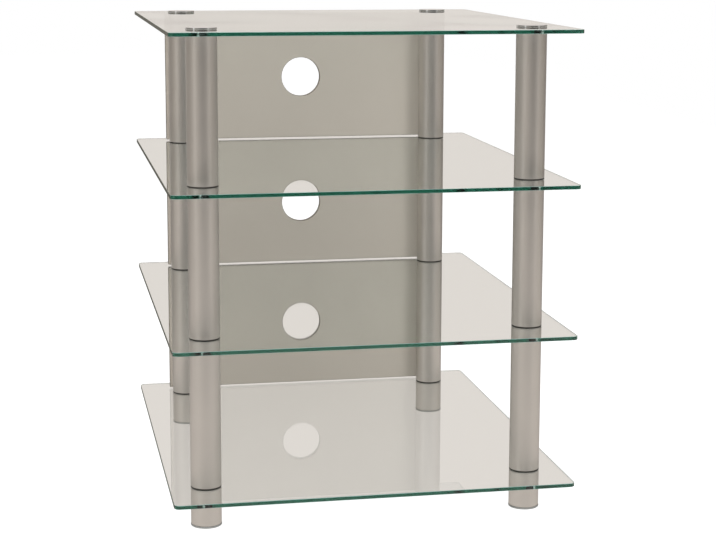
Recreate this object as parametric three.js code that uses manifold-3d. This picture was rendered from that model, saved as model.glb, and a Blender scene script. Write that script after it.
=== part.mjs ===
// An open rack for audio equipment: four sheets of clear tempered glass, carried one above
// the other by four posts of short metal tubes. A threaded rod runs down the middle of each
// post, through a hole in every sheet, and pulls cap, sheets, tubes and foot together.
// Three grey boards close the back, each with a round hole for cables.
// Units are millimetres, +Z is up, +X is right, the front faces -Y, and the origin lies on
// the floor under the middle of the sheets.

import * as THREE from 'three';
import { mergeVertices } from 'three/addons/utils/BufferGeometryUtils.js';
import Module from 'manifold-3d';

// The glass sheets, which are all alike.
const shelfWidth = 525;
const shelfDepth = 620;
const glassThickness = 5;
const glassCornerRadius = 8;

// Where the middle of each post stands, from the nearest edges of the glass.
const frontPostSideInset = 48;
const frontPostInset = 78;
const rearPostSideInset = 67;
const rearPostInset = 57;

// The tubes between the sheets.
const tubeDiameter = 40;
const tubeWall = 1.5;
const tubeLength = 191;

// The rod in each post and the play that every thread and bore leaves round it.
const rodDiameter = 8;
const threadClearance = 0.3;

// The foot: a cup with a threaded boss in its middle.
const footHeight = 44.5;
const footWall = 2;
const footWeb = 6;
const footBossWall = 3.7;

// The levelling glide: a round pad on a stud that screws into the foot. The stud keeps its
// grip when the glide is let down by its whole travel.
const glideThickness = 2.5;
const glideOverhang = 0.3;
const glideChamfer = 0.8;
const glideTravel = 8;
const studGrip = 10;
const studToRodGap = 3;

// The soft bush at each hole: a flange under or over the glass, a neck in the hole and a
// spigot in the end of the tube.
const bushFlange = 1;
const bushSpigotHeight = 6;
const bushClearance = 0.3;
const neckWall = 1.2;
const neckClearance = 0.5;
const neckSetBack = 0.3;

// The cap on the top sheet: a flat disc on a threaded sleeve.
const capThickness = 2.5;
const capChamfer = 0.8;
const capSleeveWall = 1.7;
const capSleeveLength = 24;
const capBoreFloor = 2;
const rodTipGap = 2;

// The boards behind the rear posts, one in each bay.
const panelThickness = 8;
const panelOverhang = 3;
const panelEdgeGap = 2;
const panelTubeGap = 0.2;
const cableHoleDiameter = 60;
const cableHoleAside = 8.5;

// The pan-head screws that hold each board to the rear tubes.
const screwDiameter = 4;
const screwHeadDiameter = 8;
const screwHeadHeight = 2.4;
const screwHeadChamfer = 0.8;
const screwBite = 6;
const screwClearance = 0.3;

// How finely round things are faceted.
const tubeSides = 24;
const rodSides = 16;
const screwSides = 12;
const cornerSteps = 8;
const cableHoleSides = 32;

// The stud, and the radii that follow from the rod outwards.
const studLength = glideTravel + studGrip;
const rodRadius = rodDiameter / 2;
const threadRadius = rodRadius + threadClearance;
const sleeveRadius = threadRadius + capSleeveWall;
const sleeveBoreRadius = sleeveRadius + threadClearance;
const neckRadius = sleeveBoreRadius + neckWall;
const glassHoleRadius = neckRadius + neckClearance;

// Radii that follow from the tube inwards.
const tubeRadius = tubeDiameter / 2;
const tubeBoreRadius = tubeRadius - tubeWall;
const spigotRadius = tubeBoreRadius - bushClearance;

// The middle of each post, seen from above.
const frontPostX = shelfWidth / 2 - frontPostSideInset;
const frontPostY = -(shelfDepth / 2 - frontPostInset);
const rearPostX = shelfWidth / 2 - rearPostSideInset;
const rearPostY = shelfDepth / 2 - rearPostInset;
const posts = [
  { name: 'front_left', x: -frontPostX, y: frontPostY, rear: false },
  { name: 'front_right', x: frontPostX, y: frontPostY, rear: false },
  { name: 'rear_left', x: -rearPostX, y: rearPostY, rear: true },
  { name: 'rear_right', x: rearPostX, y: rearPostY, rear: true },
];

// Sheets and bays are counted upwards. Under the top sheet there is a flange as well, so
// it lies that much higher.
const shelfNames = ['bottom', 'lower_middle', 'upper_middle', 'top'];
const bayNames = ['lower', 'middle', 'upper'];
const topLevel = shelfNames.length - 1;

function undersideOf(level) {
  const upperFlange = level === topLevel ? bushFlange : 0;
  const pitch = glassThickness + bushFlange + tubeLength;
  return glideThickness + footHeight + level * pitch + upperFlange;
}

function topsideOf(level) {
  return undersideOf(level) + glassThickness;
}

function clearHeightOf(bay) {
  return undersideOf(bay + 1) - topsideOf(bay);
}

const wasm = await Module();
wasm.setup();

// Finishes

function material(name, color, roughness, metalness) {
  return new THREE.MeshStandardMaterial({ name, color, roughness, metalness });
}

function clearGlass() {
  const glass = material('tempered_glass', 0xd3dcd6, 0.05, 0);
  glass.transparent = true;
  glass.opacity = 0.35;
  return glass;
}

const silverLacquer = () => material('silver_lacquer', 0xa8a39b, 0.45, 0.6);
const polishedChrome = () => material('polished_chrome', 0xd8d8d8, 0.1, 1);
const zincSteel = () => material('zinc_steel', 0xb4b6b8, 0.35, 1);
const darkPlastic = () => material('dark_plastic', 0x3c3a37, 0.6, 0);
const greyPlastic = () => material('grey_plastic', 0x8f8f8d, 0.55, 0);
const greyBoard = () => material('grey_board', 0xa39b90, 0.7, 0);

// Shapes

// Turns a profile of [radius, height] points about the Z axis. The points run outwards
// along the bottom, up the outside and back in along the top.
function turned(profile, sides) {
  const points = profile.map(([radius, height]) => new THREE.Vector2(radius, height));
  return new THREE.LatheGeometry(points, sides).rotateX(Math.PI / 2);
}

// A turned piece with a bore: its profile ends where it starts.
function turnedRing(profile, sides) {
  return turned([...profile, profile[0]], sides);
}

function circle(x, y, radius) {
  return new THREE.Path().absarc(x, y, radius, 0, 2 * Math.PI, false);
}

function roundedRectangle(width, height, radius) {
  const x = width / 2 - radius;
  const y = height / 2 - radius;
  const quarter = Math.PI / 2;
  return new THREE.Shape()
    .absarc(x, -y, radius, -quarter, 0, false)
    .absarc(x, y, radius, 0, quarter, false)
    .absarc(-x, y, radius, quarter, 2 * quarter, false)
    .absarc(-x, -y, radius, 2 * quarter, 3 * quarter, false)
    .closePath();
}

function plate(outline, thickness, steps) {
  return new THREE.ExtrudeGeometry(outline, {
    depth: thickness,
    bevelEnabled: false,
    curveSegments: steps,
  });
}

// Boolean cuts work on closed solids with shared vertices.
function solidOf(geometry) {
  const bare = geometry.clone();
  bare.deleteAttribute('normal');
  bare.deleteAttribute('uv');
  const merged = mergeVertices(bare);
  return new wasm.Manifold(new wasm.Mesh({
    numProp: 3,
    vertProperties: new Float32Array(merged.attributes.position.array),
    triVerts: new Uint32Array(merged.index.array),
  }));
}

function geometryOf(solid) {
  const mesh = solid.getMesh();
  const geometry = new THREE.BufferGeometry();
  geometry.setAttribute('position', new THREE.BufferAttribute(mesh.vertProperties, mesh.numProp));
  geometry.setIndex(new THREE.BufferAttribute(mesh.triVerts, 1));
  geometry.computeVertexNormals();
  return geometry;
}

// Pieces

// A sheet of glass with its four holes, its underside at height zero.
function shelfGeometry() {
  const outline = roundedRectangle(shelfWidth, shelfDepth, glassCornerRadius);
  for (const post of posts) {
    outline.holes.push(circle(post.x, post.y, glassHoleRadius));
  }
  return plate(outline, glassThickness, cornerSteps);
}

function tubeGeometry() {
  return turnedRing([
    [tubeBoreRadius, 0],
    [tubeRadius, 0],
    [tubeRadius, tubeLength],
    [tubeBoreRadius, tubeLength],
  ], tubeSides);
}

// A rear tube has a hole through its back wall for the screw that holds the board.
function rearTubeGeometry(screwHeight) {
  const holeRadius = screwDiameter / 2 + screwClearance;
  const drill = new THREE.CylinderGeometry(holeRadius, holeRadius, tubeDiameter, screwSides);
  drill.translate(0, tubeRadius, screwHeight);
  return geometryOf(solidOf(tubeGeometry()).subtract(solidOf(drill)));
}

function footGeometry() {
  const bossRadius = threadRadius + footBossWall;
  const skirtRadius = tubeRadius - footWall;
  return turnedRing([
    [threadRadius, 0],
    [bossRadius, 0],
    [bossRadius, footHeight - footWeb],
    [skirtRadius, footHeight - footWeb],
    [skirtRadius, 0],
    [tubeRadius, 0],
    [tubeRadius, footHeight],
    [threadRadius, footHeight],
  ], tubeSides);
}

function glideGeometry() {
  const padRadius = tubeRadius + glideOverhang;
  return turned([
    [0, 0],
    [padRadius - glideChamfer, 0],
    [padRadius, glideChamfer],
    [padRadius, glideThickness],
    [rodRadius, glideThickness],
    [rodRadius, glideThickness + studLength],
    [0, glideThickness + studLength],
  ], tubeSides);
}

// A bush that stands on the glass: its flange starts at height zero, its neck hangs in the
// hole of the sheet below and its spigot centres the foot of the tube.
function bushGeometry() {
  return turnedRing([
    [threadRadius, neckSetBack - glassThickness],
    [neckRadius, neckSetBack - glassThickness],
    [neckRadius, 0],
    [tubeRadius, 0],
    [tubeRadius, bushFlange],
    [spigotRadius, bushFlange],
    [spigotRadius, bushFlange + bushSpigotHeight],
    [threadRadius, bushFlange + bushSpigotHeight],
  ], tubeSides);
}

// The bush under the top sheet is the same the other way up, with a wider bore that lets
// the cap's sleeve through.
function topBushGeometry() {
  return turnedRing([
    [sleeveBoreRadius, -bushFlange - bushSpigotHeight],
    [spigotRadius, -bushFlange - bushSpigotHeight],
    [spigotRadius, -bushFlange],
    [tubeRadius, -bushFlange],
    [tubeRadius, 0],
    [neckRadius, 0],
    [neckRadius, glassThickness - neckSetBack],
    [sleeveBoreRadius, glassThickness - neckSetBack],
  ], tubeSides);
}

// The cap's disc starts at height zero and its sleeve hangs below it, open at the bottom.
function capGeometry() {
  return turned([
    [0, -capBoreFloor],
    [threadRadius, -capBoreFloor],
    [threadRadius, -capSleeveLength],
    [sleeveRadius, -capSleeveLength],
    [sleeveRadius, 0],
    [tubeRadius, 0],
    [tubeRadius, capThickness - capChamfer],
    [tubeRadius - capChamfer, capThickness],
    [0, capThickness],
  ], tubeSides);
}

function rodGeometry(length) {
  return turned([
    [0, 0],
    [rodRadius, 0],
    [rodRadius, length],
    [0, length],
  ], rodSides);
}

// A board stands upright: its outline is drawn flat about its middle and then turned up.
function panelGeometry(height) {
  const width = 2 * (rearPostX + tubeRadius + panelOverhang);
  const outline = new THREE.Shape()
    .moveTo(-width / 2, -height / 2)
    .lineTo(width / 2, -height / 2)
    .lineTo(width / 2, height / 2)
    .lineTo(-width / 2, height / 2)
    .closePath();
  const holeRadius = screwDiameter / 2 + screwClearance;
  outline.holes.push(circle(-cableHoleAside, 0, cableHoleDiameter / 2));
  outline.holes.push(circle(-rearPostX, 0, holeRadius));
  outline.holes.push(circle(rearPostX, 0, holeRadius));
  return plate(outline, panelThickness, cableHoleSides / 2).rotateX(Math.PI / 2);
}

// A screw's shank points to the front and its head rests on the back of the board.
function screwGeometry() {
  const shankRadius = screwDiameter / 2;
  const headRadius = screwHeadDiameter / 2;
  const shankLength = panelThickness + panelTubeGap + tubeWall + screwBite;
  return turned([
    [0, -shankLength],
    [shankRadius, -shankLength],
    [shankRadius, 0],
    [headRadius, 0],
    [headRadius, screwHeadHeight - screwHeadChamfer],
    [headRadius - screwHeadChamfer, screwHeadHeight],
    [0, screwHeadHeight],
  ], screwSides).rotateX(-Math.PI / 2);
}

// The assembly

function named(name, geometry, finish, z) {
  const mesh = new THREE.Mesh(geometry, finish);
  mesh.name = name;
  mesh.position.z = z;
  return mesh;
}

function makePost(post) {
  const group = new THREE.Group();
  group.position.set(post.x, post.y, 0);
  group.add(named(`glide_${post.name}`, glideGeometry(), greyPlastic(), 0));
  group.add(named(`foot_${post.name}`, footGeometry(), silverLacquer(), glideThickness));
  for (const [bay, bayName] of bayNames.entries()) {
    const floor = topsideOf(bay);
    const screwHeight = clearHeightOf(bay) / 2 - bushFlange;
    const tube = post.rear ? rearTubeGeometry(screwHeight) : tubeGeometry();
    group.add(named(`bush_${post.name}_${bayName}`, bushGeometry(), darkPlastic(), floor));
    group.add(named(`tube_${post.name}_${bayName}`, tube, silverLacquer(), floor + bushFlange));
  }
  const topUnderside = undersideOf(topLevel);
  const topSurface = topsideOf(topLevel);
  group.add(named(`bush_${post.name}_top`, topBushGeometry(), darkPlastic(), topUnderside));
  group.add(named(`cap_${post.name}`, capGeometry(), polishedChrome(), topSurface));
  const rodBottom = glideThickness + studLength + studToRodGap;
  const rodTop = topSurface - capBoreFloor - rodTipGap;
  group.add(named(`tie_rod_${post.name}`, rodGeometry(rodTop - rodBottom), zincSteel(), rodBottom));
  return group;
}

function makeBack() {
  const group = new THREE.Group();
  const panelFront = rearPostY + tubeRadius + panelTubeGap;
  const panelBack = panelFront + panelThickness;
  for (const [bay, bayName] of bayNames.entries()) {
    const height = clearHeightOf(bay) - 2 * panelEdgeGap;
    const middle = topsideOf(bay) + clearHeightOf(bay) / 2;
    const panel = named(`rear_panel_${bayName}`, panelGeometry(height), greyBoard(), middle);
    panel.position.y = panelBack;
    group.add(panel);
    for (const [side, x] of [['left', -rearPostX], ['right', rearPostX]]) {
      const screw = named(`panel_screw_${bayName}_${side}`, screwGeometry(), zincSteel(), middle);
      screw.position.x = x;
      screw.position.y = panelBack;
      group.add(screw);
    }
  }
  return group;
}

function makeRack() {
  const rack = new THREE.Group();
  for (const [level, shelfName] of shelfNames.entries()) {
    rack.add(named(`shelf_${shelfName}`, shelfGeometry(), clearGlass(), undersideOf(level)));
  }
  for (const post of posts) {
    rack.add(makePost(post));
  }
  rack.add(makeBack());
  return rack;
}

export default makeRack();
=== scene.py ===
# %% [markdown]
# An open rack of glass shelves on tube posts.
# Four sheets of tempered glass lie one above the other on four posts of lacquered tube, and
# three boards close the back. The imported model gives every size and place. This script makes
# each piece again as a fine surface, gives it its finish, and builds a small photo studio
# round it.

import bmesh
import bpy
import numpy as np
from mathutils import Matrix, Vector


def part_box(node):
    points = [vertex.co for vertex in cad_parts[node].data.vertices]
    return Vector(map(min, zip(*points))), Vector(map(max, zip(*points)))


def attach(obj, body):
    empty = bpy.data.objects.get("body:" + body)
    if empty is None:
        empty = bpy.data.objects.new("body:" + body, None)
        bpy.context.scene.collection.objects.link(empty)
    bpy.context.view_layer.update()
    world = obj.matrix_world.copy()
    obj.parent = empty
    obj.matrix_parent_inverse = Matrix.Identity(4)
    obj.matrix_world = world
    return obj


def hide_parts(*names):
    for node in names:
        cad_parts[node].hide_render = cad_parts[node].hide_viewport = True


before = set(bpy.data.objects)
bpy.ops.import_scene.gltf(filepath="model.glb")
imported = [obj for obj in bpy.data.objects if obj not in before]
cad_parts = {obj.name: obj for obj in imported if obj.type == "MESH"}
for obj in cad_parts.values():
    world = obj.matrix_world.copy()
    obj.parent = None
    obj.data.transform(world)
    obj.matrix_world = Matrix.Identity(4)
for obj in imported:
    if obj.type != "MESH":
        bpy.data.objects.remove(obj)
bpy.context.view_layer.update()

MM = 0.001

# %% [markdown]
# Sizes.
# Everything is worked out in millimetres and turned into metres only when a mesh is made.
# The places come from the boxes of the CAD nodes. What a box can't say, such as the wall of
# a tube, is a named value beside the piece it belongs to.

# %% Read a node's box
def box_mm(node):
    """The lowest and the highest corner of a CAD node, in millimetres."""
    low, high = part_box(node)
    return np.array(low) / MM, np.array(high) / MM


def middle_of(node):
    """The middle of a CAD node's box, in millimetres."""
    low, high = box_mm(node)
    return (low + high) / 2


POSTS = ("front_left", "front_right", "rear_left", "rear_right")
BAYS = ("lower", "middle", "upper")
SHELVES = ("bottom", "lower_middle", "upper_middle", "top")

tube_low, tube_high = box_mm("tube_front_left_lower")
TUBE_RADIUS = (tube_high[0] - tube_low[0]) / 2
rod_low, rod_high = box_mm("tie_rod_front_left")
ROD_RADIUS = (rod_high[0] - rod_low[0]) / 2
print("tube radius", TUBE_RADIUS, "rod radius", ROD_RADIUS)

# %% [markdown]
# From points to a piece.
# A surface here is a grid of points, worked out by numpy all at once. Several grids make one
# piece: they are put into one mesh, the points that fall together are welded, and the faces
# are turned outwards. Edges that bend by more than 30 degrees stay sharp, so flat faces
# shade flat beside their rounded edges.

# %% Make a piece
WELD = 0.002        # points nearer than this are one point
HAIR = 0.05         # keeps the faces of two pieces that touch out of one plane
SHARP_BEND = np.radians(30)


def quads_of(rows, columns, closed, first):
    """The four corners of each square of a grid. Where the grid is closed, the last column
    joins the first one again."""
    i, j = np.meshgrid(np.arange(rows - 1), np.arange(columns - (not closed)), indexing="ij")
    right = (j + 1) % columns
    here = first + i * columns
    below = here + columns
    corners = [here + j, here + right, below + right, below + j]
    return np.stack(corners, -1).reshape(-1, 4)


def make_piece(name, patches, finishes, body, node):
    """Makes one piece from patches, each a grid of points in millimetres, whether its rows
    close on themselves, and the number of its finish."""
    points, quads, numbers, first = [], [], [], 0
    for grid, closed, number in patches:
        rows, columns = grid.shape[:2]
        found = quads_of(rows, columns, closed, first)
        points.append(grid.reshape(-1, 3))
        quads.append(found)
        numbers.append(np.full(len(found), number))
        first += rows * columns
    mesh = bpy.data.meshes.new(name)
    mesh.from_pydata((np.concatenate(points) * MM).tolist(), [], np.concatenate(quads).tolist())
    mesh.polygons.foreach_set("material_index", np.concatenate(numbers).astype(np.int32))
    work = bmesh.new()
    work.from_mesh(mesh)
    bmesh.ops.remove_doubles(work, verts=work.verts, dist=WELD * MM)
    bmesh.ops.recalc_face_normals(work, faces=work.faces)
    open_edges = sum(not edge.is_manifold for edge in work.edges)
    work.to_mesh(mesh)
    work.free()
    mesh.shade_smooth()
    mesh.set_sharp_from_angle(angle=SHARP_BEND)
    for finish in finishes:
        mesh.materials.append(finish)
    piece = bpy.data.objects.new(name, mesh)
    bpy.context.scene.collection.objects.link(piece)
    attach(piece, body)
    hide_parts(node)
    print(f"{name}: {len(mesh.polygons)} faces, {open_edges} open edges")


# %% [markdown]
# Most of the rack is round, so its pieces are profiles turned about an upright axis, as on a
# lathe. A real edge is never quite sharp: each corner of a profile is eased by a small arc,
# and it is this arc that catches the light.

# %% Turned surfaces
FLANK = 0.4         # how far beyond an arc the extra point lies
AROUND = 96
EASING_STEPS = 4


def unit(vector):
    """The same direction at length one."""
    return vector / np.linalg.norm(vector)


def eased(corners):
    """Rounds the corners of a profile. A corner is (radius, height, easing). Its arc touches
    both sides, and one more point on each side keeps the shading of the sides even."""
    path = []
    for k, (radius, height, easing) in enumerate(corners):
        here = np.array([radius, height])
        if not easing:
            path.append(here[None])
            continue
        to_last = unit(np.array(corners[k - 1][:2]) - here)
        to_next = unit(np.array(corners[(k + 1) % len(corners)][:2]) - here)
        opening = np.arccos(to_last @ to_next)
        reach = easing / np.tan(opening / 2)
        centre = here + unit(to_last + to_next) * easing / np.sin(opening / 2)
        start = here + to_last * reach - centre
        end = here + to_next * reach - centre
        sweep = np.pi - opening
        s = np.linspace(0, 1, EASING_STEPS + 1)[:, None]
        arc = centre + (np.sin((1 - s) * sweep) * start + np.sin(s * sweep) * end) / np.sin(sweep)
        before = here + to_last * (reach + FLANK)
        after = here + to_next * (reach + FLANK)
        path += [before[None], arc, after[None]]
    return np.concatenate(path)


def turned(profile, around=AROUND):
    """Carries a profile round the Z axis: point (i, j) is (r_i cos t_j, r_i sin t_j, z_i),
    with t_j in even steps round the circle."""
    t = np.linspace(0, 2 * np.pi, around, endpoint=False)
    radius, height = np.asarray(profile).T[:, :, None]
    return np.stack([radius * np.cos(t), radius * np.sin(t), height + 0 * t], -1)


def ring(corners):
    """A turned body with a bore: its profile runs back to where it began."""
    profile = eased(corners)
    return turned(np.concatenate([profile, profile[:1]]))


# %% [markdown]
# A screw thread is a turned surface whose radius also depends on how far round the point
# lies: the groove climbs by one pitch for each turn. The rods and the glides' studs have the
# coarse 8 mm thread, 1.25 mm a turn, and it runs out gently at both ends.

# %% Threaded surfaces
PITCH = 1.25
THREAD_DEPTH = 0.6
THREAD_FLAT_SHARE = 0.125
ROWS_A_TURN = 8


def threaded(low, high, radius, around):
    """Point (i, j) has the radius r - d f(z_i / p - t_j / 2 pi), where f is a groove with a
    flat crest and root, p the pitch and d the depth, which fades to nothing at the ends."""
    rows = int((high - low) / PITCH * ROWS_A_TURN)
    z = np.linspace(low, high, rows)[:, None]
    t = np.linspace(0, 2 * np.pi, around, endpoint=False)
    turn = (z / PITCH - t / (2 * np.pi)) % 1
    flank = (1 + 2 * THREAD_FLAT_SHARE) * (1 - abs(2 * turn - 1))
    groove = np.clip(flank - THREAD_FLAT_SHARE, 0, 1)
    fade = np.clip(np.minimum(z - low, high - z) / PITCH, 0, 1)
    r = radius - THREAD_DEPTH * fade * groove
    return np.stack([r * np.cos(t), r * np.sin(t), z + 0 * t], -1)


# %% [markdown]
# The shelves and the boards are flat plates with holes. A plate is cut into rectangles, one
# round each hole, and each rectangle's face is a fan: every line runs from the edge of the
# hole straight to a point of the rectangle's edge. The plate's own edge and the walls of the
# holes are then short profiles carried along those same points, so everything meets.

# %% Plates with holes
SIDE_STEPS = 40
CORNER_STEPS = 10


def sides_of(cell, corner_radius, inset):
    """The sides of a rectangle as runs of points, each with a mark that says whether it lies
    on the plate's edge. Sides on the edge move in by the inset, and a corner between two of
    them is an arc with the same middle at every inset."""
    low, high, outer = cell["low"], cell["high"], cell["outer"]
    x0, x1 = low[0] + inset * outer[3], high[0] - inset * outer[1]
    y0, y1 = low[1] + inset * outer[0], high[1] - inset * outer[2]
    corners = np.array([[x0, y0], [x1, y0], [x1, y1], [x0, y1]])
    along = np.array([[1, 0], [0, 1], [-1, 0], [0, -1]])
    bend = [(corner_radius - inset) * (outer[k - 1] and outer[k]) for k in range(4)]
    s = np.linspace(0, 1, SIDE_STEPS + 1)[:, None]
    t = np.linspace(0, np.pi / 2, CORNER_STEPS + 1)[:, None]
    sides = []
    for k in range(4):
        after = (k + 1) % 4
        start = corners[k] + along[k] * bend[k]
        end = corners[after] - along[k] * bend[after]
        sides.append((start + (end - start) * s, outer[k]))
        if outer[k] and outer[after]:
            centre = end + along[after] * bend[after]
            arc = centre + bend[after] * (along[k] * np.sin(t) - along[after] * np.cos(t))
            sides.append((arc, True))
    return sides


def plate(cells, corner_radius, edge, strip_finishes):
    """All patches of a plate that lies flat. The edge is a list of (inset, height) rows from
    the top face to the underside, used for the outline and for each hole alike. Each strip
    between two rows has the number of its finish, and the flat faces have number 0."""
    patches = []
    easing, flank = edge[0][0], edge[0][0] + FLANK
    heights = [height for _, height in edge]
    insets = [inset for inset, _ in edge]
    for cell in cells:
        rims = {inset: sides_of(cell, corner_radius, inset) for inset in {flank, *insets}}
        loop = np.concatenate([run[:-1] for run, _ in rims[flank]])
        rays = loop - cell["hole"]
        rays = rays / np.linalg.norm(rays, axis=1)[:, None]
        circle = {}
        for inset in rims:
            circle[inset] = cell["hole"] + (cell["radius"] + inset) * rays
        for height in (heights[0], heights[-1]):
            patches.append((lifted([circle[easing], circle[flank], loop], [height] * 3), True, 0))
        patches += strips([circle[inset] for inset in insets], heights, True, strip_finishes)
        for k, (_, on_edge) in enumerate(rims[flank]):
            if not on_edge:
                continue
            for height in (heights[0], heights[-1]):
                border = [rims[flank][k][0], rims[easing][k][0]]
                patches.append((lifted(border, [height] * 2), False, 0))
            patches += strips([rims[inset][k][0] for inset in insets], heights, False, strip_finishes)
    return patches


def strips(rows, heights, closed, finishes):
    """The strips between rows as patches of their own, so that each has its own finish."""
    grid = lifted(rows, heights)
    return [(grid[k:k + 2], closed, finish) for k, finish in enumerate(finishes)]


def lifted(rows, heights):
    """Rows of flat points, each at its own height, as one grid."""
    flat = np.stack(rows)
    z = np.broadcast_to(np.asarray(heights)[:, None, None], flat.shape[:2] + (1,))
    return np.concatenate([flat, z], -1)


# %% [markdown]
# Finishes.
# A colour is written as it looks on a screen, in sRGB, and one function turns it into the
# linear values that the renderer works with. Another small function adds a node.

# %% Helpers for finishes
DRIFT_LOW = 0.3
DRIFT_HIGH = 0.7
WHITE = (1, 1, 1, 1)


def linear(hex_colour):
    """An sRGB colour such as #c0ffee as linear red, green, blue and alpha."""
    value = np.array([int(hex_colour[k:k + 2], 16) for k in (1, 3, 5)]) / 255
    value = np.where(value <= 0.04045, value / 12.92, ((value + 0.055) / 1.055) ** 2.4)
    return (*value.tolist(), 1.0)


def add(tree, kind, inputs=None, **fields):
    """Adds one node. Each input is a value, or the output of another node to link to."""
    made = tree.nodes.new(kind)
    for field, value in fields.items():
        setattr(made, field, value)
    for socket, value in (inputs or {}).items():
        if isinstance(value, bpy.types.NodeSocket):
            tree.links.new(value, made.inputs[socket])
        else:
            made.inputs[socket].default_value = value
    return made


def start_finish(name, **sockets):
    """A new material with a Principled shader, whose sockets get the given plain values."""
    finish = bpy.data.materials.new(name)
    finish.use_nodes = True
    shader = finish.node_tree.nodes["Principled BSDF"]
    for socket, value in sockets.items():
        shader.inputs[socket.replace("_", " ")].default_value = value
    print("finish", name)
    return finish, finish.node_tree, shader


def drift(tree, millimetres, detail):
    """A soft random pattern, about 0.5 in the mean, with blotches of that size."""
    place = add(tree, "ShaderNodeTexCoord")
    scale = (1 / (millimetres * MM),) * 3
    spot = add(tree, "ShaderNodeMapping", {"Vector": place.outputs["Object"], "Scale": scale})
    noise = add(tree, "ShaderNodeTexNoise", {"Vector": spot.outputs[0], "Scale": 1.0, "Detail": detail})
    return noise.outputs["Fac"]


def ramp(tree, factor, low, high, new_low, new_high):
    """Maps a factor's range onto another one, and holds it there."""
    return add(tree, "ShaderNodeMapRange", {
        "Value": factor, "From Min": low, "From Max": high, "To Min": new_low, "To Max": new_high,
    }).outputs["Result"]


def spread(tree, pattern, low, high):
    """Spreads the range in which nearly all of a soft random pattern lies over low to high."""
    return ramp(tree, pattern, DRIFT_LOW, DRIFT_HIGH, low, high)


def blend_colours(tree, factor, first, second):
    """Mixes two colours by a factor. Each is a hex colour or the output of another node."""
    mixed = add(tree, "ShaderNodeMix", data_type="RGBA")
    tree.links.new(factor, mixed.inputs["Factor"])
    for socket, colour in (("A", first), ("B", second)):
        if isinstance(colour, str):
            mixed.inputs[socket].default_value = linear(colour)
        else:
            tree.links.new(colour, mixed.inputs[socket])
    return mixed.outputs["Result"]


def relief(tree, shader, height, distance_mm, strength=1.0):
    """Lets a pattern bend the light as if the surface rose by that much."""
    bump = add(tree, "ShaderNodeBump", {
        "Height": height, "Distance": distance_mm * MM, "Strength": strength,
    })
    tree.links.new(bump.outputs["Normal"], shader.inputs["Normal"])


# %% [markdown]
# Tempered float glass.
# Soda-lime glass floated on tin, cut, ground, polished and then tempered. It is clear
# through its thickness, but its iron tints light that travels along the sheet, which is why
# its edges look dark green. An absorbing volume does that by itself. Tempering on rollers
# leaves long, very shallow waves, which only show in what the sheet mirrors.

# %% Glass
GLASS_IOR = 1.52
ROLLER_WAVE = 180
WAVE_HEIGHT = 0.05
ABSORPTION_PER_METRE = (6.1, 2.85, 3.5)
DENSITY = 1.05 * max(ABSORPTION_PER_METRE)
EDGE_ROUGHNESS = 0.12
ARRIS_ROUGHNESS = 0.3
ARRIS_CLEARNESS = 0.6
FROST = "#a9d6cf"
# The next colour is a painted shade: a dark diffuse mixed into the glass edges at grazing angles,
# standing in for the dark room that they mirror there.
GRAZING_PAINTED_SHADE = "#5a584e"
PAINTED_SHADE_FROM = 0.5
PAINTED_SHADE_FULL = 0.8
PAINTED_SHADE_SHARE = 0.85
LIGHT_PASSED = 0.94


def glass_finish(name, roughness, clear=1.0, grazing_shade=False):
    """Glass with an absorbing volume. When asked, a dark diffuse colour is mixed in from outside at
    grazing angles: a painted shade for the dark room that the edge mirrors there. Lamp light passes
    straight through."""
    finish, tree, shader = start_finish(
        name, Base_Color=WHITE if clear == 1.0 else linear(FROST), Roughness=roughness,
        IOR=GLASS_IOR, Transmission_Weight=clear)
    relief(tree, shader, drift(tree, ROLLER_WAVE, 0.0), WAVE_HEIGHT)
    surface = shader.outputs[0]
    # Painted shade: at grazing angles from outside, part of the surface becomes a dark diffuse colour.
    if grazing_shade:
        facing = add(tree, "ShaderNodeLayerWeight", {"Blend": 0.5}).outputs["Facing"]
        inside = add(tree, "ShaderNodeNewGeometry").outputs["Backfacing"]
        grazed = add(tree, "ShaderNodeMath", {0: facing, 1: inside}, operation="SUBTRACT").outputs[0]
        share = ramp(tree, grazed, PAINTED_SHADE_FROM, PAINTED_SHADE_FULL, 0, PAINTED_SHADE_SHARE)
        dark = add(tree, "ShaderNodeBsdfDiffuse", {"Color": linear(GRAZING_PAINTED_SHADE)})
        mixed = add(tree, "ShaderNodeMixShader", {"Fac": share, 1: surface, 2: dark.outputs[0]})
        surface = mixed.outputs[0]
    shadow = add(tree, "ShaderNodeLightPath").outputs["Is Shadow Ray"]
    passed = add(tree, "ShaderNodeBsdfTransparent", {"Color": (LIGHT_PASSED,) * 3 + (1,)})
    whole = add(tree, "ShaderNodeMixShader", {"Fac": shadow, 1: surface, 2: passed.outputs[0]})
    tree.links.new(whole.outputs[0], tree.nodes["Material Output"].inputs["Surface"])
    tint = (*[1 - loss / DENSITY for loss in ABSORPTION_PER_METRE], 1.0)
    volume = add(tree, "ShaderNodeVolumeAbsorption", {"Color": tint, "Density": DENSITY})
    tree.links.new(volume.outputs["Volume"], tree.nodes["Material Output"].inputs["Volume"])
    return finish


clear_glass = glass_finish("tempered_float_glass", 0.0)
polished_edge = glass_finish("polished_float_glass_edge", EDGE_ROUGHNESS, grazing_shade=True)
ground_arris = glass_finish("ground_float_glass_arris", ARRIS_ROUGHNESS, ARRIS_CLEARNESS, True)

# %% [markdown]
# Silver lacquer.
# Aluminium flakes in a satin clear lacquer, sprayed on steel tube. The flakes mirror the
# room softly, so an upright tube shows broad upright bands. Each flake is far too small to
# see, so they are drawn as grains of half a millimetre.

# %% Lacquered tube
FLAKE = 0.5
FLAKE_RELIEF = 0.01
CLOUD = 60
EDGE_TINT = (0.6, 0.6, 0.6, 1.0)


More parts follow.
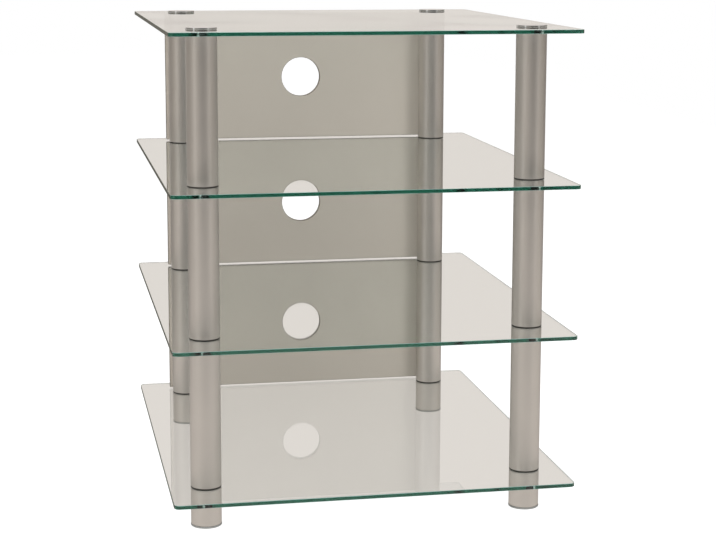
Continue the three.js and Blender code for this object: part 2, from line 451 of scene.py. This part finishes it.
def silver_lacquer():
    """A rough metal under a thin coat. Flakes vary its roughness, clouds its colour."""
    finish, tree, shader = start_finish(
        "silver_flake_lacquer", Metallic=0.95, Roughness=0.44, Coat_Weight=0.15, Coat_Roughness=0.25,
        Specular_Tint=EDGE_TINT)
    cloud = drift(tree, CLOUD, 3.0)
    tree.links.new(blend_colours(tree, cloud, "#d3cfca", "#dcd8d2"), shader.inputs["Base Color"])
    grain = drift(tree, FLAKE, 1.0)
    tree.links.new(spread(tree, grain, 0.41, 0.47), shader.inputs["Roughness"])
    relief(tree, shader, grain, FLAKE_RELIEF, 0.5)
    return finish


lacquer = silver_lacquer()

# %% [markdown]
# Polished chrome.
# Bright nickel and chrome plating on turned steel. It has no colour of its own and mirrors
# the room sharply, with the finest wipe marks.

# %% Chrome
WIPE_MARK = 6


def chrome_plate():
    """A nearly smooth metal, whose colour and roughness drift with the wipe marks."""
    finish, tree, shader = start_finish("polished_chrome_plate", Metallic=1.0, Roughness=0.05)
    marks = drift(tree, WIPE_MARK, 4.0)
    tree.links.new(blend_colours(tree, marks, "#c6c7c7", "#d0d1d1"), shader.inputs["Base Color"])
    tree.links.new(spread(tree, marks, 0.04, 0.08), shader.inputs["Roughness"])
    return finish


chrome = chrome_plate()

# %% [markdown]
# Lacquered fibreboard.
# Medium-density fibreboard with a warm grey satin lacquer rolled on. The roller leaves a
# faint orange peel, about two millimetres from bump to bump. The sawn edges and the walls of
# the holes are given a darker colour.

# %% Board
PEEL = 2.0
PEEL_RELIEF = 0.02
ROLLED_PATCH = 90


def board_lacquer(name, dark, light):
    """A satin surface. Orange peel varies its roughness, rolled patches its colour."""
    finish, tree, shader = start_finish(name, Roughness=0.5)
    patch = drift(tree, ROLLED_PATCH, 3.0)
    tree.links.new(blend_colours(tree, patch, dark, light), shader.inputs["Base Color"])
    peel = drift(tree, PEEL, 1.0)
    tree.links.new(spread(tree, peel, 0.44, 0.54), shader.inputs["Roughness"])
    relief(tree, shader, peel, PEEL_RELIEF, 0.6)
    return finish


board_face = board_lacquer("warm_grey_board_lacquer", "#bdb5aa", "#c2baaf")
board_edge = board_lacquer("lacquered_board_edge", "#6a6156", "#756c61")

# %% [markdown]
# Plastics and plated steel.
# The bushes are soft black plastic, moulded and matt. The glides are harder grey plastic
# with the fine grain of a spark-eroded mould. Rods and screws are zinc-plated steel, whose
# thin plating clouds from bluish to grey.

# %% Small parts
MOULD_RELIEF = 0.02
BUSH_GRAIN = 0.8
GLIDE_GRAIN = 0.6
ZINC_CLOUD = 5


def moulded_plastic(name, dark, light, roughness, grain_mm):
    """A dull surface with the grain of its mould in colour and relief."""
    finish, tree, shader = start_finish(name, Roughness=roughness)
    grain = drift(tree, grain_mm, 2.0)
    tree.links.new(blend_colours(tree, grain, dark, light), shader.inputs["Base Color"])
    relief(tree, shader, grain, MOULD_RELIEF, 0.5)
    return finish


def zinc_plate():
    """A metal whose colour and roughness cloud together."""
    finish, tree, shader = start_finish("zinc_plated_steel", Metallic=1.0, Roughness=0.3)
    cloud = drift(tree, ZINC_CLOUD, 3.0)
    tree.links.new(blend_colours(tree, cloud, "#b4b8bb", "#c9cac8"), shader.inputs["Base Color"])
    tree.links.new(spread(tree, cloud, 0.25, 0.4), shader.inputs["Roughness"])
    return finish


bush_plastic = moulded_plastic("soft_black_plastic", "#37342f", "#423f3a", 0.55, BUSH_GRAIN)
glide_plastic = moulded_plastic("grained_grey_plastic", "#8a8a87", "#949491", 0.5, GLIDE_GRAIN)
zinc = zinc_plate()

# %% [markdown]
# The pieces, beginning with the glass shelves.
# Each sheet has four holes, rounded corners and a flat polished edge with a narrow bevel, the
# arris, along both rims. The sheet is cut into four rectangles, one round each post.

# %% Shelves
GLASS_HOLE_RADIUS = 8
GLASS_CORNER = 8
ARRIS = 0.4


def make_shelf(shelf):
    """One sheet as a plate of four cells with a hole each, and a bevel at both its rims."""
    low, high = box_mm(f"shelf_{shelf}")
    cells = []
    for post in POSTS:
        spot = middle_of(f"foot_{post}")[:2]
        left, front = spot < 0
        cells.append({
            "low": (low[0] if left else 0, low[1] if front else 0),
            "high": (0 if left else high[0], 0 if front else high[1]),
            "outer": (front, not left, not front, left),
            "hole": spot,
            "radius": GLASS_HOLE_RADIUS,
        })
    edge = [(ARRIS, high[2]), (0, high[2] - ARRIS), (0, low[2] + ARRIS), (ARRIS, low[2])]
    patches = plate(cells, GLASS_CORNER, edge, (2, 1, 2))
    finishes = [clear_glass, polished_edge, ground_arris]
    make_piece(f"glass_{shelf}", patches, finishes, "rack", f"shelf_{shelf}")


for shelf in SHELVES:
    make_shelf(shelf)

# %% [markdown]
# Tubes, feet and caps.
# The tubes are cut square and deburred, a little more at the upper rim than at the lower one.
# A foot is a turned cup of the tube's diameter with a boss for the rod and the glide's stud.
# A cap is a thin disc with a bright, barely eased rim, on a sleeve that reaches down through
# the glass. All three are profiles carried round the post's axis.

# %% Posts
TUBE_WALL = 1.5
THREAD_CLEARANCE = 0.3
FOOT_WALL = 2
FOOT_WEB = 6
FOOT_BOSS = 8
CAP_THICKNESS = 2.5
CAP_FLOOR = 2
CAP_SLEEVE_WALL = 1.7
FINE_EASING = 0.2
LOWER_RIM_EASING = 0.5
UPPER_RIM_EASING = 1.0
FOOT_RIM_EASING = 0.8
CUP_EASING = 1.0
CAP_EASING = 0.4
CAP_RIM_EASING = 0.5


def stand(grid, spot, height):
    """Moves a turned grid from the axis to its place."""
    return grid + np.array([spot[0], spot[1], height])


def make_tube(post, bay):
    """A ring profile: the bore, the lower rim, the outside and the upper rim."""
    node = f"tube_{post}_{bay}"
    low, high = box_mm(node)
    bore = TUBE_RADIUS - TUBE_WALL
    length = high[2] - low[2] - HAIR
    corners = [
        (bore, HAIR, FINE_EASING), (TUBE_RADIUS, HAIR, LOWER_RIM_EASING),
        (TUBE_RADIUS, length, UPPER_RIM_EASING), (bore, length, FINE_EASING),
    ]
    grid = stand(ring(corners), middle_of(node), low[2])
    make_piece(f"lacquered_{node}", [(grid, True, 0)], [lacquer], "rack", node)


def make_foot(post):
    """A ring profile: down the bore, round the boss, into the cup and out over its skirt."""
    node = f"foot_{post}"
    low, high = box_mm(node)
    bore = ROD_RADIUS + THREAD_CLEARANCE
    height = high[2] - low[2] - HAIR
    inside = height - FOOT_WEB
    skirt = TUBE_RADIUS - FOOT_WALL
    corners = [
        (bore, 0, FINE_EASING), (FOOT_BOSS, 0, FINE_EASING),
        (FOOT_BOSS, inside, CUP_EASING), (skirt, inside, CUP_EASING),
        (skirt, 0, FINE_EASING), (TUBE_RADIUS, 0, FOOT_RIM_EASING),
        (TUBE_RADIUS, height, UPPER_RIM_EASING), (bore, height, FINE_EASING),
    ]
    grid = stand(ring(corners), middle_of(node), low[2])
    make_piece(f"lacquered_{node}", [(grid, True, 0)], [lacquer], "rack", node)


def make_cap(post):
    """A profile from the axis under the blind bore, round the sleeve and the disc's rim, and
    back to the axis on top."""
    node = f"cap_{post}"
    low, high = box_mm(node)
    bore = ROD_RADIUS + THREAD_CLEARANCE
    sleeve = bore + CAP_SLEEVE_WALL
    seat = high[2] - CAP_THICKNESS
    bottom = low[2] - seat
    corners = [
        (0, -CAP_FLOOR, 0), (bore, -CAP_FLOOR, FINE_EASING),
        (bore, bottom, FINE_EASING), (sleeve, bottom, CAP_EASING),
        (sleeve, HAIR, FINE_EASING), (TUBE_RADIUS, HAIR, CAP_EASING),
        (TUBE_RADIUS, CAP_THICKNESS, CAP_RIM_EASING), (0, CAP_THICKNESS, 0),
    ]
    grid = stand(turned(eased(corners)), middle_of(node), seat)
    make_piece(f"chrome_{node}", [(grid, True, 0)], [chrome], "rack", node)


for post in POSTS:
    make_foot(post)
    make_cap(post)
    for bay in BAYS:
        make_tube(post, bay)

# %% [markdown]
# Bushes.
# Each bush has a thin flange between tube and glass, a neck in the hole of the sheet and a
# spigot inside the tube. The one under the top sheet is turned over, and its bore is wide
# enough for the cap's sleeve.

# %% Bushes
BUSH_FLANGE = 1
SPIGOT_CLEARANCE = 0.3
NECK_RADIUS = 7.5
TOP_BUSH_BORE = 6.3
FLANGE_EASING = 0.15


def make_bush(post, place):
    """A ring profile in steps: neck, flange and spigot, upwards or, at the top, downwards."""
    node = f"bush_{post}_{place}"
    low, high = box_mm(node)
    at_top = place == "top"
    bore = TOP_BUSH_BORE if at_top else ROD_RADIUS + THREAD_CLEARANCE
    spigot = TUBE_RADIUS - TUBE_WALL - SPIGOT_CLEARANCE
    shelf = SHELVES[-1] if at_top else SHELVES[BAYS.index(place)]
    shelf_low, shelf_high = box_mm(f"shelf_{shelf}")
    seat = shelf_low[2] if at_top else shelf_high[2]
    neck, rim = (high[2], low[2]) if at_top else (low[2], high[2])
    side = -1 if at_top else 1
    flange = seat + side * BUSH_FLANGE
    face = seat + side * HAIR
    corners = [
        (bore, neck, FINE_EASING), (NECK_RADIUS, neck, FINE_EASING),
        (NECK_RADIUS, face, 0), (TUBE_RADIUS, face, FLANGE_EASING),
        (TUBE_RADIUS, flange, FLANGE_EASING), (spigot, flange, 0),
        (spigot, rim, FINE_EASING), (bore, rim, FINE_EASING),
    ]
    grid = stand(ring(corners), middle_of(node), 0)
    make_piece(f"plastic_{node}", [(grid, True, 0)], [bush_plastic], "rack", node)


for post in POSTS:
    for place in (*BAYS, "top"):
        make_bush(post, place)

# %% [markdown]
# Glides and tie rods.
# A glide is a round pad with a threaded stud. The tie rod is plain in the middle and threaded
# where the foot and the cap screw on to it.

# %% Threaded parts
ROD_THREAD = 32
ROD_CHAMFER = 0.8
ROD_AROUND = 32
PAD_THICKNESS = 2.5
PAD_TOP = PAD_THICKNESS - HAIR
PAD_FLOOR_EASING = 0.8
PAD_RIM_EASING = 0.3


def tip(height, inwards):
    """The two rows that close a rod's end: a chamfer and the flat end face on the axis."""
    shoulder = height - inwards * ROD_CHAMFER
    return [(ROD_RADIUS, shoulder), (ROD_RADIUS - ROD_CHAMFER, height), (0, height)]


def make_rod(post):
    """Rows from the lower tip through both threads to the upper tip."""
    node = f"tie_rod_{post}"
    low, high = box_mm(node)
    bottom = tip(low[2], -1)[::-1]
    top = tip(high[2], 1)
    grid = np.concatenate([
        turned(bottom, ROD_AROUND),
        threaded(bottom[-1][1], low[2] + ROD_THREAD, ROD_RADIUS, ROD_AROUND),
        threaded(high[2] - ROD_THREAD, top[0][1], ROD_RADIUS, ROD_AROUND),
        turned(top, ROD_AROUND),
    ])
    grid = stand(grid, middle_of(node), 0)
    make_piece(f"threaded_{node}", [(grid, True, 0)], [zinc], "rack", node)


def make_glide(post):
    """Rows round the pad, up the threaded stud and over its tip."""
    node = f"glide_{post}"
    low, high = box_mm(node)
    pad = (high[0] - low[0]) / 2
    corners = [
        (0, 0, 0), (pad, 0, PAD_FLOOR_EASING),
        (pad, PAD_TOP, PAD_RIM_EASING), (ROD_RADIUS, PAD_TOP, 0),
    ]
    top = tip(high[2], 1)
    grid = np.concatenate([
        turned(eased(corners)),
        threaded(PAD_TOP, top[0][1], ROD_RADIUS, AROUND),
        turned(top),
    ])
    grid = stand(grid, middle_of(node), 0)
    body = f"{post}_glide"
    make_piece(f"levelling_{node}", [(grid, True, 0)], [glide_plastic], body, node)


for post in POSTS:
    make_rod(post)
    make_glide(post)

# %% [markdown]
# Boards.
# Each board stands upright between two sheets. It is made lying down, as a plate cut into
# three, round the cable hole in the middle and a screw hole at each end, and then stood up.

# %% Boards
CABLE_HOLE_RADIUS = 30
CABLE_HOLE_X = -8.5
SCREW_HOLE_RADIUS = 2.3
BOARD_EASING = 0.6
BOARD_CORNER = 1.5
MIDDLE_THIRD = 110


def rounded_edge(easing, top, bottom):
    """Rows of (inset, height) down an edge whose two rims are quarter rounds."""
    t = np.linspace(0, np.pi / 2, EASING_STEPS + 1)
    inset = easing * (1 - np.sin(t))
    drop = easing * (1 - np.cos(t))
    upper = list(zip(inset, top - drop))
    lower = list(zip(inset[::-1], (bottom + drop)[::-1]))
    flat = [(0.0, top - easing - FLANK), (0.0, bottom + easing + FLANK)]
    return upper + flat + lower


def make_board(bay):
    """A plate of three cells, whose y and z change places so that it stands upright."""
    node = f"rear_panel_{bay}"
    low, high = box_mm(node)
    middle = (low[2] + high[2]) / 2
    screw_x = middle_of("foot_rear_right")[0]
    stops = (low[0], CABLE_HOLE_X - MIDDLE_THIRD, CABLE_HOLE_X + MIDDLE_THIRD, high[0])
    holes = (
        (-screw_x, SCREW_HOLE_RADIUS), (CABLE_HOLE_X, CABLE_HOLE_RADIUS), (screw_x, SCREW_HOLE_RADIUS),
    )
    cells = []
    for k, (x, radius) in enumerate(holes):
        cells.append({
            "low": (stops[k], low[2]), "high": (stops[k + 1], high[2]),
            "outer": (True, k == 2, True, k == 0), "hole": (x, middle), "radius": radius,
        })
    edge = rounded_edge(BOARD_EASING, high[1], low[1])
    lying = plate(cells, BOARD_CORNER, edge, [1] * (len(edge) - 1))
    patches = [(grid[..., [0, 2, 1]], closed, number) for grid, closed, number in lying]
    make_piece(f"board_{bay}", patches, [board_face, board_edge], "rack", node)


for bay in BAYS:
    make_board(bay)

# %% [markdown]
# Screws.
# The boards are held by small pan-head screws with a cross recess. The recess is a cross
# drawn in polar form, so that rows of points can shrink from the head's round rim to the
# cross, down its walls and together at its floor.

# %% Screws
SHANK_RADIUS = 2
HEAD_RADIUS = 4
HEAD_HEIGHT = 2.4
HEAD_EASING = 0.6
HEAD_FLANK = 0.5
CROWN_INSET = 0.9
SEAT_EASING = 0.2
TIP_EASING = 0.5
CROSS_REACH = 2.2
CROSS_DEPTH = 1.4
CROSS_FLOOR_SHARE = 0.6
CROSS_CONE = 0.3
ARM_ANGLE = np.radians(15)
SCREW_AROUND = 72


def cross_recess(height):
    """Rows from the rim of a cross-shaped recess to its floor. At the angle a from the
    nearest arm, the cross reaches R / cos a, or w / sin a outside its arms, where
    w = R tan 15 degrees is half an arm's width."""
    t = np.linspace(0, 2 * np.pi, SCREW_AROUND, endpoint=False)
    a = abs((t + np.pi / 4) % (np.pi / 2) - np.pi / 4)
    arm = CROSS_REACH / np.cos(a)
    side = CROSS_REACH * np.tan(ARM_ANGLE) / np.sin(np.maximum(a, ARM_ANGLE))
    reach = np.where(a <= ARM_ANGLE, arm, side)
    floor = height - CROSS_DEPTH
    share, z = np.array([(1, height), (CROSS_FLOOR_SHARE, floor), (0, floor - CROSS_CONE)]).T[:, :, None]
    return np.stack([share * reach * np.cos(t), share * reach * np.sin(t), z + 0 * t], -1)


def make_screw(bay, side):
    """A profile from the tip up the shank and over the head, and then the recess, turned from
    upright to lying along the board's thickness."""
    node = f"panel_screw_{bay}_{side}"
    low, high = box_mm(node)
    spot = middle_of(node)
    length = high[1] - low[1] - HEAD_HEIGHT
    crown = HEAD_RADIUS - CROWN_INSET
    corners = [
        (0, -length, 0), (SHANK_RADIUS, -length, TIP_EASING), (SHANK_RADIUS, 0, SEAT_EASING),
        (HEAD_RADIUS, 0, SEAT_EASING), (HEAD_RADIUS, HEAD_HEIGHT - HEAD_FLANK, HEAD_EASING),
        (crown, HEAD_HEIGHT, 0),
    ]
    rows = [turned(eased(corners), SCREW_AROUND), cross_recess(HEAD_HEIGHT)]
    seat = np.array([spot[0], high[1] - HEAD_HEIGHT, spot[2]])
    grid = np.concatenate(rows)[..., [0, 2, 1]] + seat
    make_piece(f"cross_head_{node}", [(grid, True, 0)], [zinc], "rack", node)


for bay in BAYS:
    for side in ("left", "right"):
        make_screw(bay, side)

# %% [markdown]
# The studio.
# A paper floor, soft lamps and a camera. To the camera the paper is white. Metal and glass
# see it as the pale warm grey that the glass shows in the photograph, and the side of the
# room behind the camera is darker, which draws the soft dark band down each post. From below
# the floor is clear, so that the glides and their travel can be looked at.

# %% Paper floor
PAPER = "#e2dbd5"
FLOOR_SIDE = 2300
FLOOR_FRONT = -2300
FLOOR_BACK = 9000
FLOOR_SHADE_SHARE = 0.3
FLOOR_IN_METAL = 0.5
FLOOR_FIBRE = 3
BRIGHT_FLOOR_Y = 0.3
DIM_FLOOR_Y = 0.8


def seen_rays(tree):
    """Three marks that are 1 or 0: for rays of the camera, for rays from metal or glass, and
    for rays that come from metal alone."""
    rays = add(tree, "ShaderNodeLightPath")
    glossy, through = rays.outputs["Is Glossy Ray"], rays.outputs["Is Transmission Ray"]
    both = add(tree, "ShaderNodeMath", {0: glossy, 1: through}, operation="MAXIMUM")
    metal = add(tree, "ShaderNodeMath", {0: glossy, 1: through}, operation="GREATER_THAN")
    return rays.outputs["Is Camera Ray"], both.outputs[0], metal.outputs[0]


def choose(tree, mark, first, second):
    """The first shader where the mark is 0 and the second where it is 1."""
    return add(tree, "ShaderNodeMixShader", {"Fac": mark, 1: first.outputs[0], 2: second.outputs[0]})


def make_floor():
    """A flat sheet of paper, white to the camera, pale in glass and dimmer behind in metal."""
    x = np.array([-FLOOR_SIDE, FLOOR_SIDE])
    y = np.array([FLOOR_FRONT, FLOOR_BACK])
    grid = np.stack([*np.meshgrid(x, y, indexing="ij"), np.zeros((2, 2))], -1)
    mesh = bpy.data.meshes.new("paper_floor")
    mesh.from_pydata((grid.reshape(-1, 3) * MM).tolist(), [], [(0, 2, 3, 1)])
    floor = bpy.data.objects.new("paper_floor", mesh)
    bpy.context.scene.collection.objects.link(floor)
    finish = bpy.data.materials.new("studio_paper")
    finish.use_nodes = True
    tree = finish.node_tree
    tree.nodes.clear()
    camera_ray, mirror_ray, metal_ray = seen_rays(tree)
    fibre = blend_colours(tree, drift(tree, FLOOR_FIBRE, 2.0), "#dedede", "#e4e4e4")
    lit = add(tree, "ShaderNodeBsdfDiffuse", {"Color": fibre})
    shade = add(tree, "ShaderNodeBsdfDiffuse", {"Color": (FLOOR_SHADE_SHARE,) * 3 + (1,)})
    own_light = 1 - 0.5 * FLOOR_SHADE_SHARE
    glow = add(tree, "ShaderNodeEmission", {"Color": WHITE, "Strength": own_light})
    white = add(tree, "ShaderNodeAddShader", {0: shade.outputs[0], 1: glow.outputs[0]})
    spot = add(tree, "ShaderNodeSeparateXYZ", {0: add(tree, "ShaderNodeTexCoord").outputs["Object"]})
    # Painted shade: in what metal mirrors, the paper behind the rack is dimmer, as if it lay in the
    # rack's shadow.
    behind = ramp(tree, spot.outputs["Y"], BRIGHT_FLOOR_Y, DIM_FLOOR_Y, 0, 1 - FLOOR_IN_METAL)
    loss = add(tree, "ShaderNodeMath", {0: behind, 1: metal_ray}, operation="MULTIPLY").outputs[0]
    kept = add(tree, "ShaderNodeMath", {0: 1.0, 1: loss}, operation="SUBTRACT").outputs[0]
    paper = add(tree, "ShaderNodeEmission", {"Color": linear(PAPER), "Strength": kept})
    mirrored = choose(tree, mirror_ray, lit, paper)
    shown = choose(tree, camera_ray, mirrored, white)
    below = add(tree, "ShaderNodeNewGeometry").outputs["Backfacing"]
    one_sided = choose(tree, below, shown, add(tree, "ShaderNodeBsdfTransparent"))
    add(tree, "ShaderNodeOutputMaterial", {"Surface": one_sided.outputs[0]})
    mesh.materials.append(finish)
    print("paper floor", 2 * FLOOR_SIDE, "by", FLOOR_BACK - FLOOR_FRONT, "mm")


make_floor()

# %% [markdown]
# The world is the light of the room. What is mirrored sees it by its direction: paper at the
# back, a dimmer room at both sides, a dark gap where the camera stands, and a bright ceiling.
# Through glass there is paper all round. All that is dull gets a plain soft light, a little
# stronger from above.

# %% World
ROOM_STOPS = (
    (-1.0, "#3d3833"), (-0.95, "#544e48"), (-0.75, "#9c958b"), (-0.4, "#a29a90"),
    (0.1, "#979088"), (0.7, "#979088"), (0.9, PAPER),
)
DARK_TURN = np.radians(6)
CEILING = 0.9
CEILING_FROM = 0.35
CEILING_FULL = 0.7
LIGHT_BELOW = 0.3
LIGHT_ABOVE = 0.6
BELOW = -0.1
ABOVE = 0.4


def colour_stops(tree, factor, stops, low, high):
    """A ramp through several colours, each at its own place between low and high."""
    even = ramp(tree, factor, low, high, 0, 1)
    made = add(tree, "ShaderNodeValToRGB", {"Fac": even})
    made.color_ramp.interpolation = "EASE"
    for k, (place, colour) in enumerate(stops):
        at = (place - low) / (high - low)
        stop = made.color_ramp.elements[k] if k < 2 else made.color_ramp.elements.new(at)
        stop.position = at
        stop.color = linear(colour)
    return made.outputs["Color"]


def make_world():
    """The room by direction: its walls change along Y, its ceiling and its light along Z."""
    world = bpy.data.worlds.new("studio_room")
    bpy.context.scene.world = world
    world.use_nodes = True
    tree = world.node_tree
    tree.nodes.clear()
    camera_ray, mirror_ray, metal_ray = seen_rays(tree)
    way = add(tree, "ShaderNodeTexCoord").outputs["Generated"]
    aside = add(tree, "ShaderNodeMapping", {"Vector": way, "Rotation": (0, 0, -DARK_TURN)})
    parts = add(tree, "ShaderNodeSeparateXYZ", {0: aside.outputs[0]})
    room = colour_stops(tree, parts.outputs["Y"], ROOM_STOPS, -1.0, 1.0)
    upwards = ramp(tree, parts.outputs["Z"], CEILING_FROM, CEILING_FULL, 0, 1)
    glow = ramp(tree, parts.outputs["Z"], BELOW, ABOVE, LIGHT_BELOW, LIGHT_ABOVE)
    light = add(tree, "ShaderNodeBackground", {"Color": WHITE, "Strength": glow})
    seen_room = blend_colours(tree, metal_ray, PAPER, room)
    walls = add(tree, "ShaderNodeBackground", {"Color": seen_room, "Strength": 1.0})
    ceiling = add(tree, "ShaderNodeBackground", {"Color": WHITE, "Strength": CEILING})
    mirrored = choose(tree, upwards, walls, ceiling)
    white = add(tree, "ShaderNodeBackground", {"Color": WHITE, "Strength": 1.0})
    seen = choose(tree, mirror_ray, light, mirrored)
    shown = choose(tree, camera_ray, seen, white)
    add(tree, "ShaderNodeOutputWorld", {"Surface": shown.outputs[0]})
    print("world", world.name)


make_world()

# %% [markdown]
# Two big soft lamps stand beside the camera and one hangs over the rack, and they light all
# that is dull. Metal and glass don't mirror them. They mirror two tall strip lamps instead,
# which draw the bright upright lines on the posts and the bright gaps on the caps.

# %% Lamps
RACK_MIDDLE = (0, 0, 350)
# A row has the lamp's name, place, width, height, watts, and whether it is mirrored.
LAMPS = (
    ("strip_left", (-2350, -1500, 900), 500, 1800, 2.3, True),
    ("strip_right", (1700, -2000, 900), 400, 1800, 1.25, True),
    ("key_left", (-1100, -2600, 1400), 1200, 1600, 40, False),
    ("fill_right", (1500, -2300, 1300), 1000, 1600, 20, False),
    ("overhead", (0, 100, 2600), 2000, 2000, 45, False),
)


def make_lamp(name, spot, width, height, watts, mirrored):
    """A soft lamp that faces the middle of the rack. Only a mirrored one shows in metal and
    glass. All sizes and places are in millimetres."""
    light = bpy.data.lights.new(name, "AREA")
    light.shape = "RECTANGLE"
    light.size = width * MM
    light.size_y = height * MM
    light.energy = watts
    lamp = bpy.data.objects.new(name, light)
    bpy.context.scene.collection.objects.link(lamp)
    lamp.location = Vector(spot) * MM
    lamp.rotation_euler = (Vector(RACK_MIDDLE) - Vector(spot)).to_track_quat("-Z", "Y").to_euler()
    lamp.visible_glossy = mirrored
    lamp.visible_transmission = mirrored
    print("lamp", name, watts, "W")


for lamp_values in LAMPS:
    make_lamp(*lamp_values)

# %% [markdown]
# The camera stands in front and a little to the left, a little higher than the rack. Its
# place was worked out from the edges of the four sheets in the photograph. Its frame moves
# down only by a small shift, because every other view of the rack keeps that shift.

# %% Camera
CAMERA_SPOT = (-437.6, -2435.6, 760.2)
CAMERA_YAW = np.radians(10.881)
CAMERA_PITCH = np.radians(8.966)
CAMERA_ROLL = np.radians(-0.151)
CAMERA_LENS = 88.385
CAMERA_SHIFT_Y = -0.08


def make_camera():
    """A camera whose axes come from its three angles: yaw to the right, pitch downwards and
    roll about its own line of sight."""
    ahead = np.array([np.sin(CAMERA_YAW), np.cos(CAMERA_YAW), 0])
    level = np.array([np.cos(CAMERA_YAW), -np.sin(CAMERA_YAW), 0])
    forward = np.cos(CAMERA_PITCH) * ahead - np.array([0, 0, np.sin(CAMERA_PITCH)])
    right = np.cos(CAMERA_ROLL) * level + np.sin(CAMERA_ROLL) * np.cross(forward, level)
    up = np.cross(right, forward)
    data = bpy.data.cameras.new("studio_camera")
    data.lens = CAMERA_LENS
    data.sensor_fit = "HORIZONTAL"
    data.shift_y = CAMERA_SHIFT_Y
    camera = bpy.data.objects.new("studio_camera", data)
    bpy.context.scene.collection.objects.link(camera)
    turn = np.eye(4)
    turn[:3, :3] = np.stack([right, up, -forward], axis=1)
    turn[:3, 3] = np.array(CAMERA_SPOT) * MM
    camera.matrix_world = Matrix(turn.tolist())
    bpy.context.scene.camera = camera
    print("camera at", CAMERA_SPOT, "lens", CAMERA_LENS)


make_camera()

# %% [markdown]
# Light that runs along a sheet is mirrored inside it many times before it leaves by an edge,
# so it is followed for 40 turns. With fewer, the green edges would be black.

# %% Light paths
LIGHT_TURNS = 40

scene = bpy.context.scene
scene.view_settings.view_transform = "Standard"
scene.cycles.max_bounces = LIGHT_TURNS
scene.cycles.transmission_bounces = LIGHT_TURNS
scene.cycles.glossy_bounces = LIGHT_TURNS
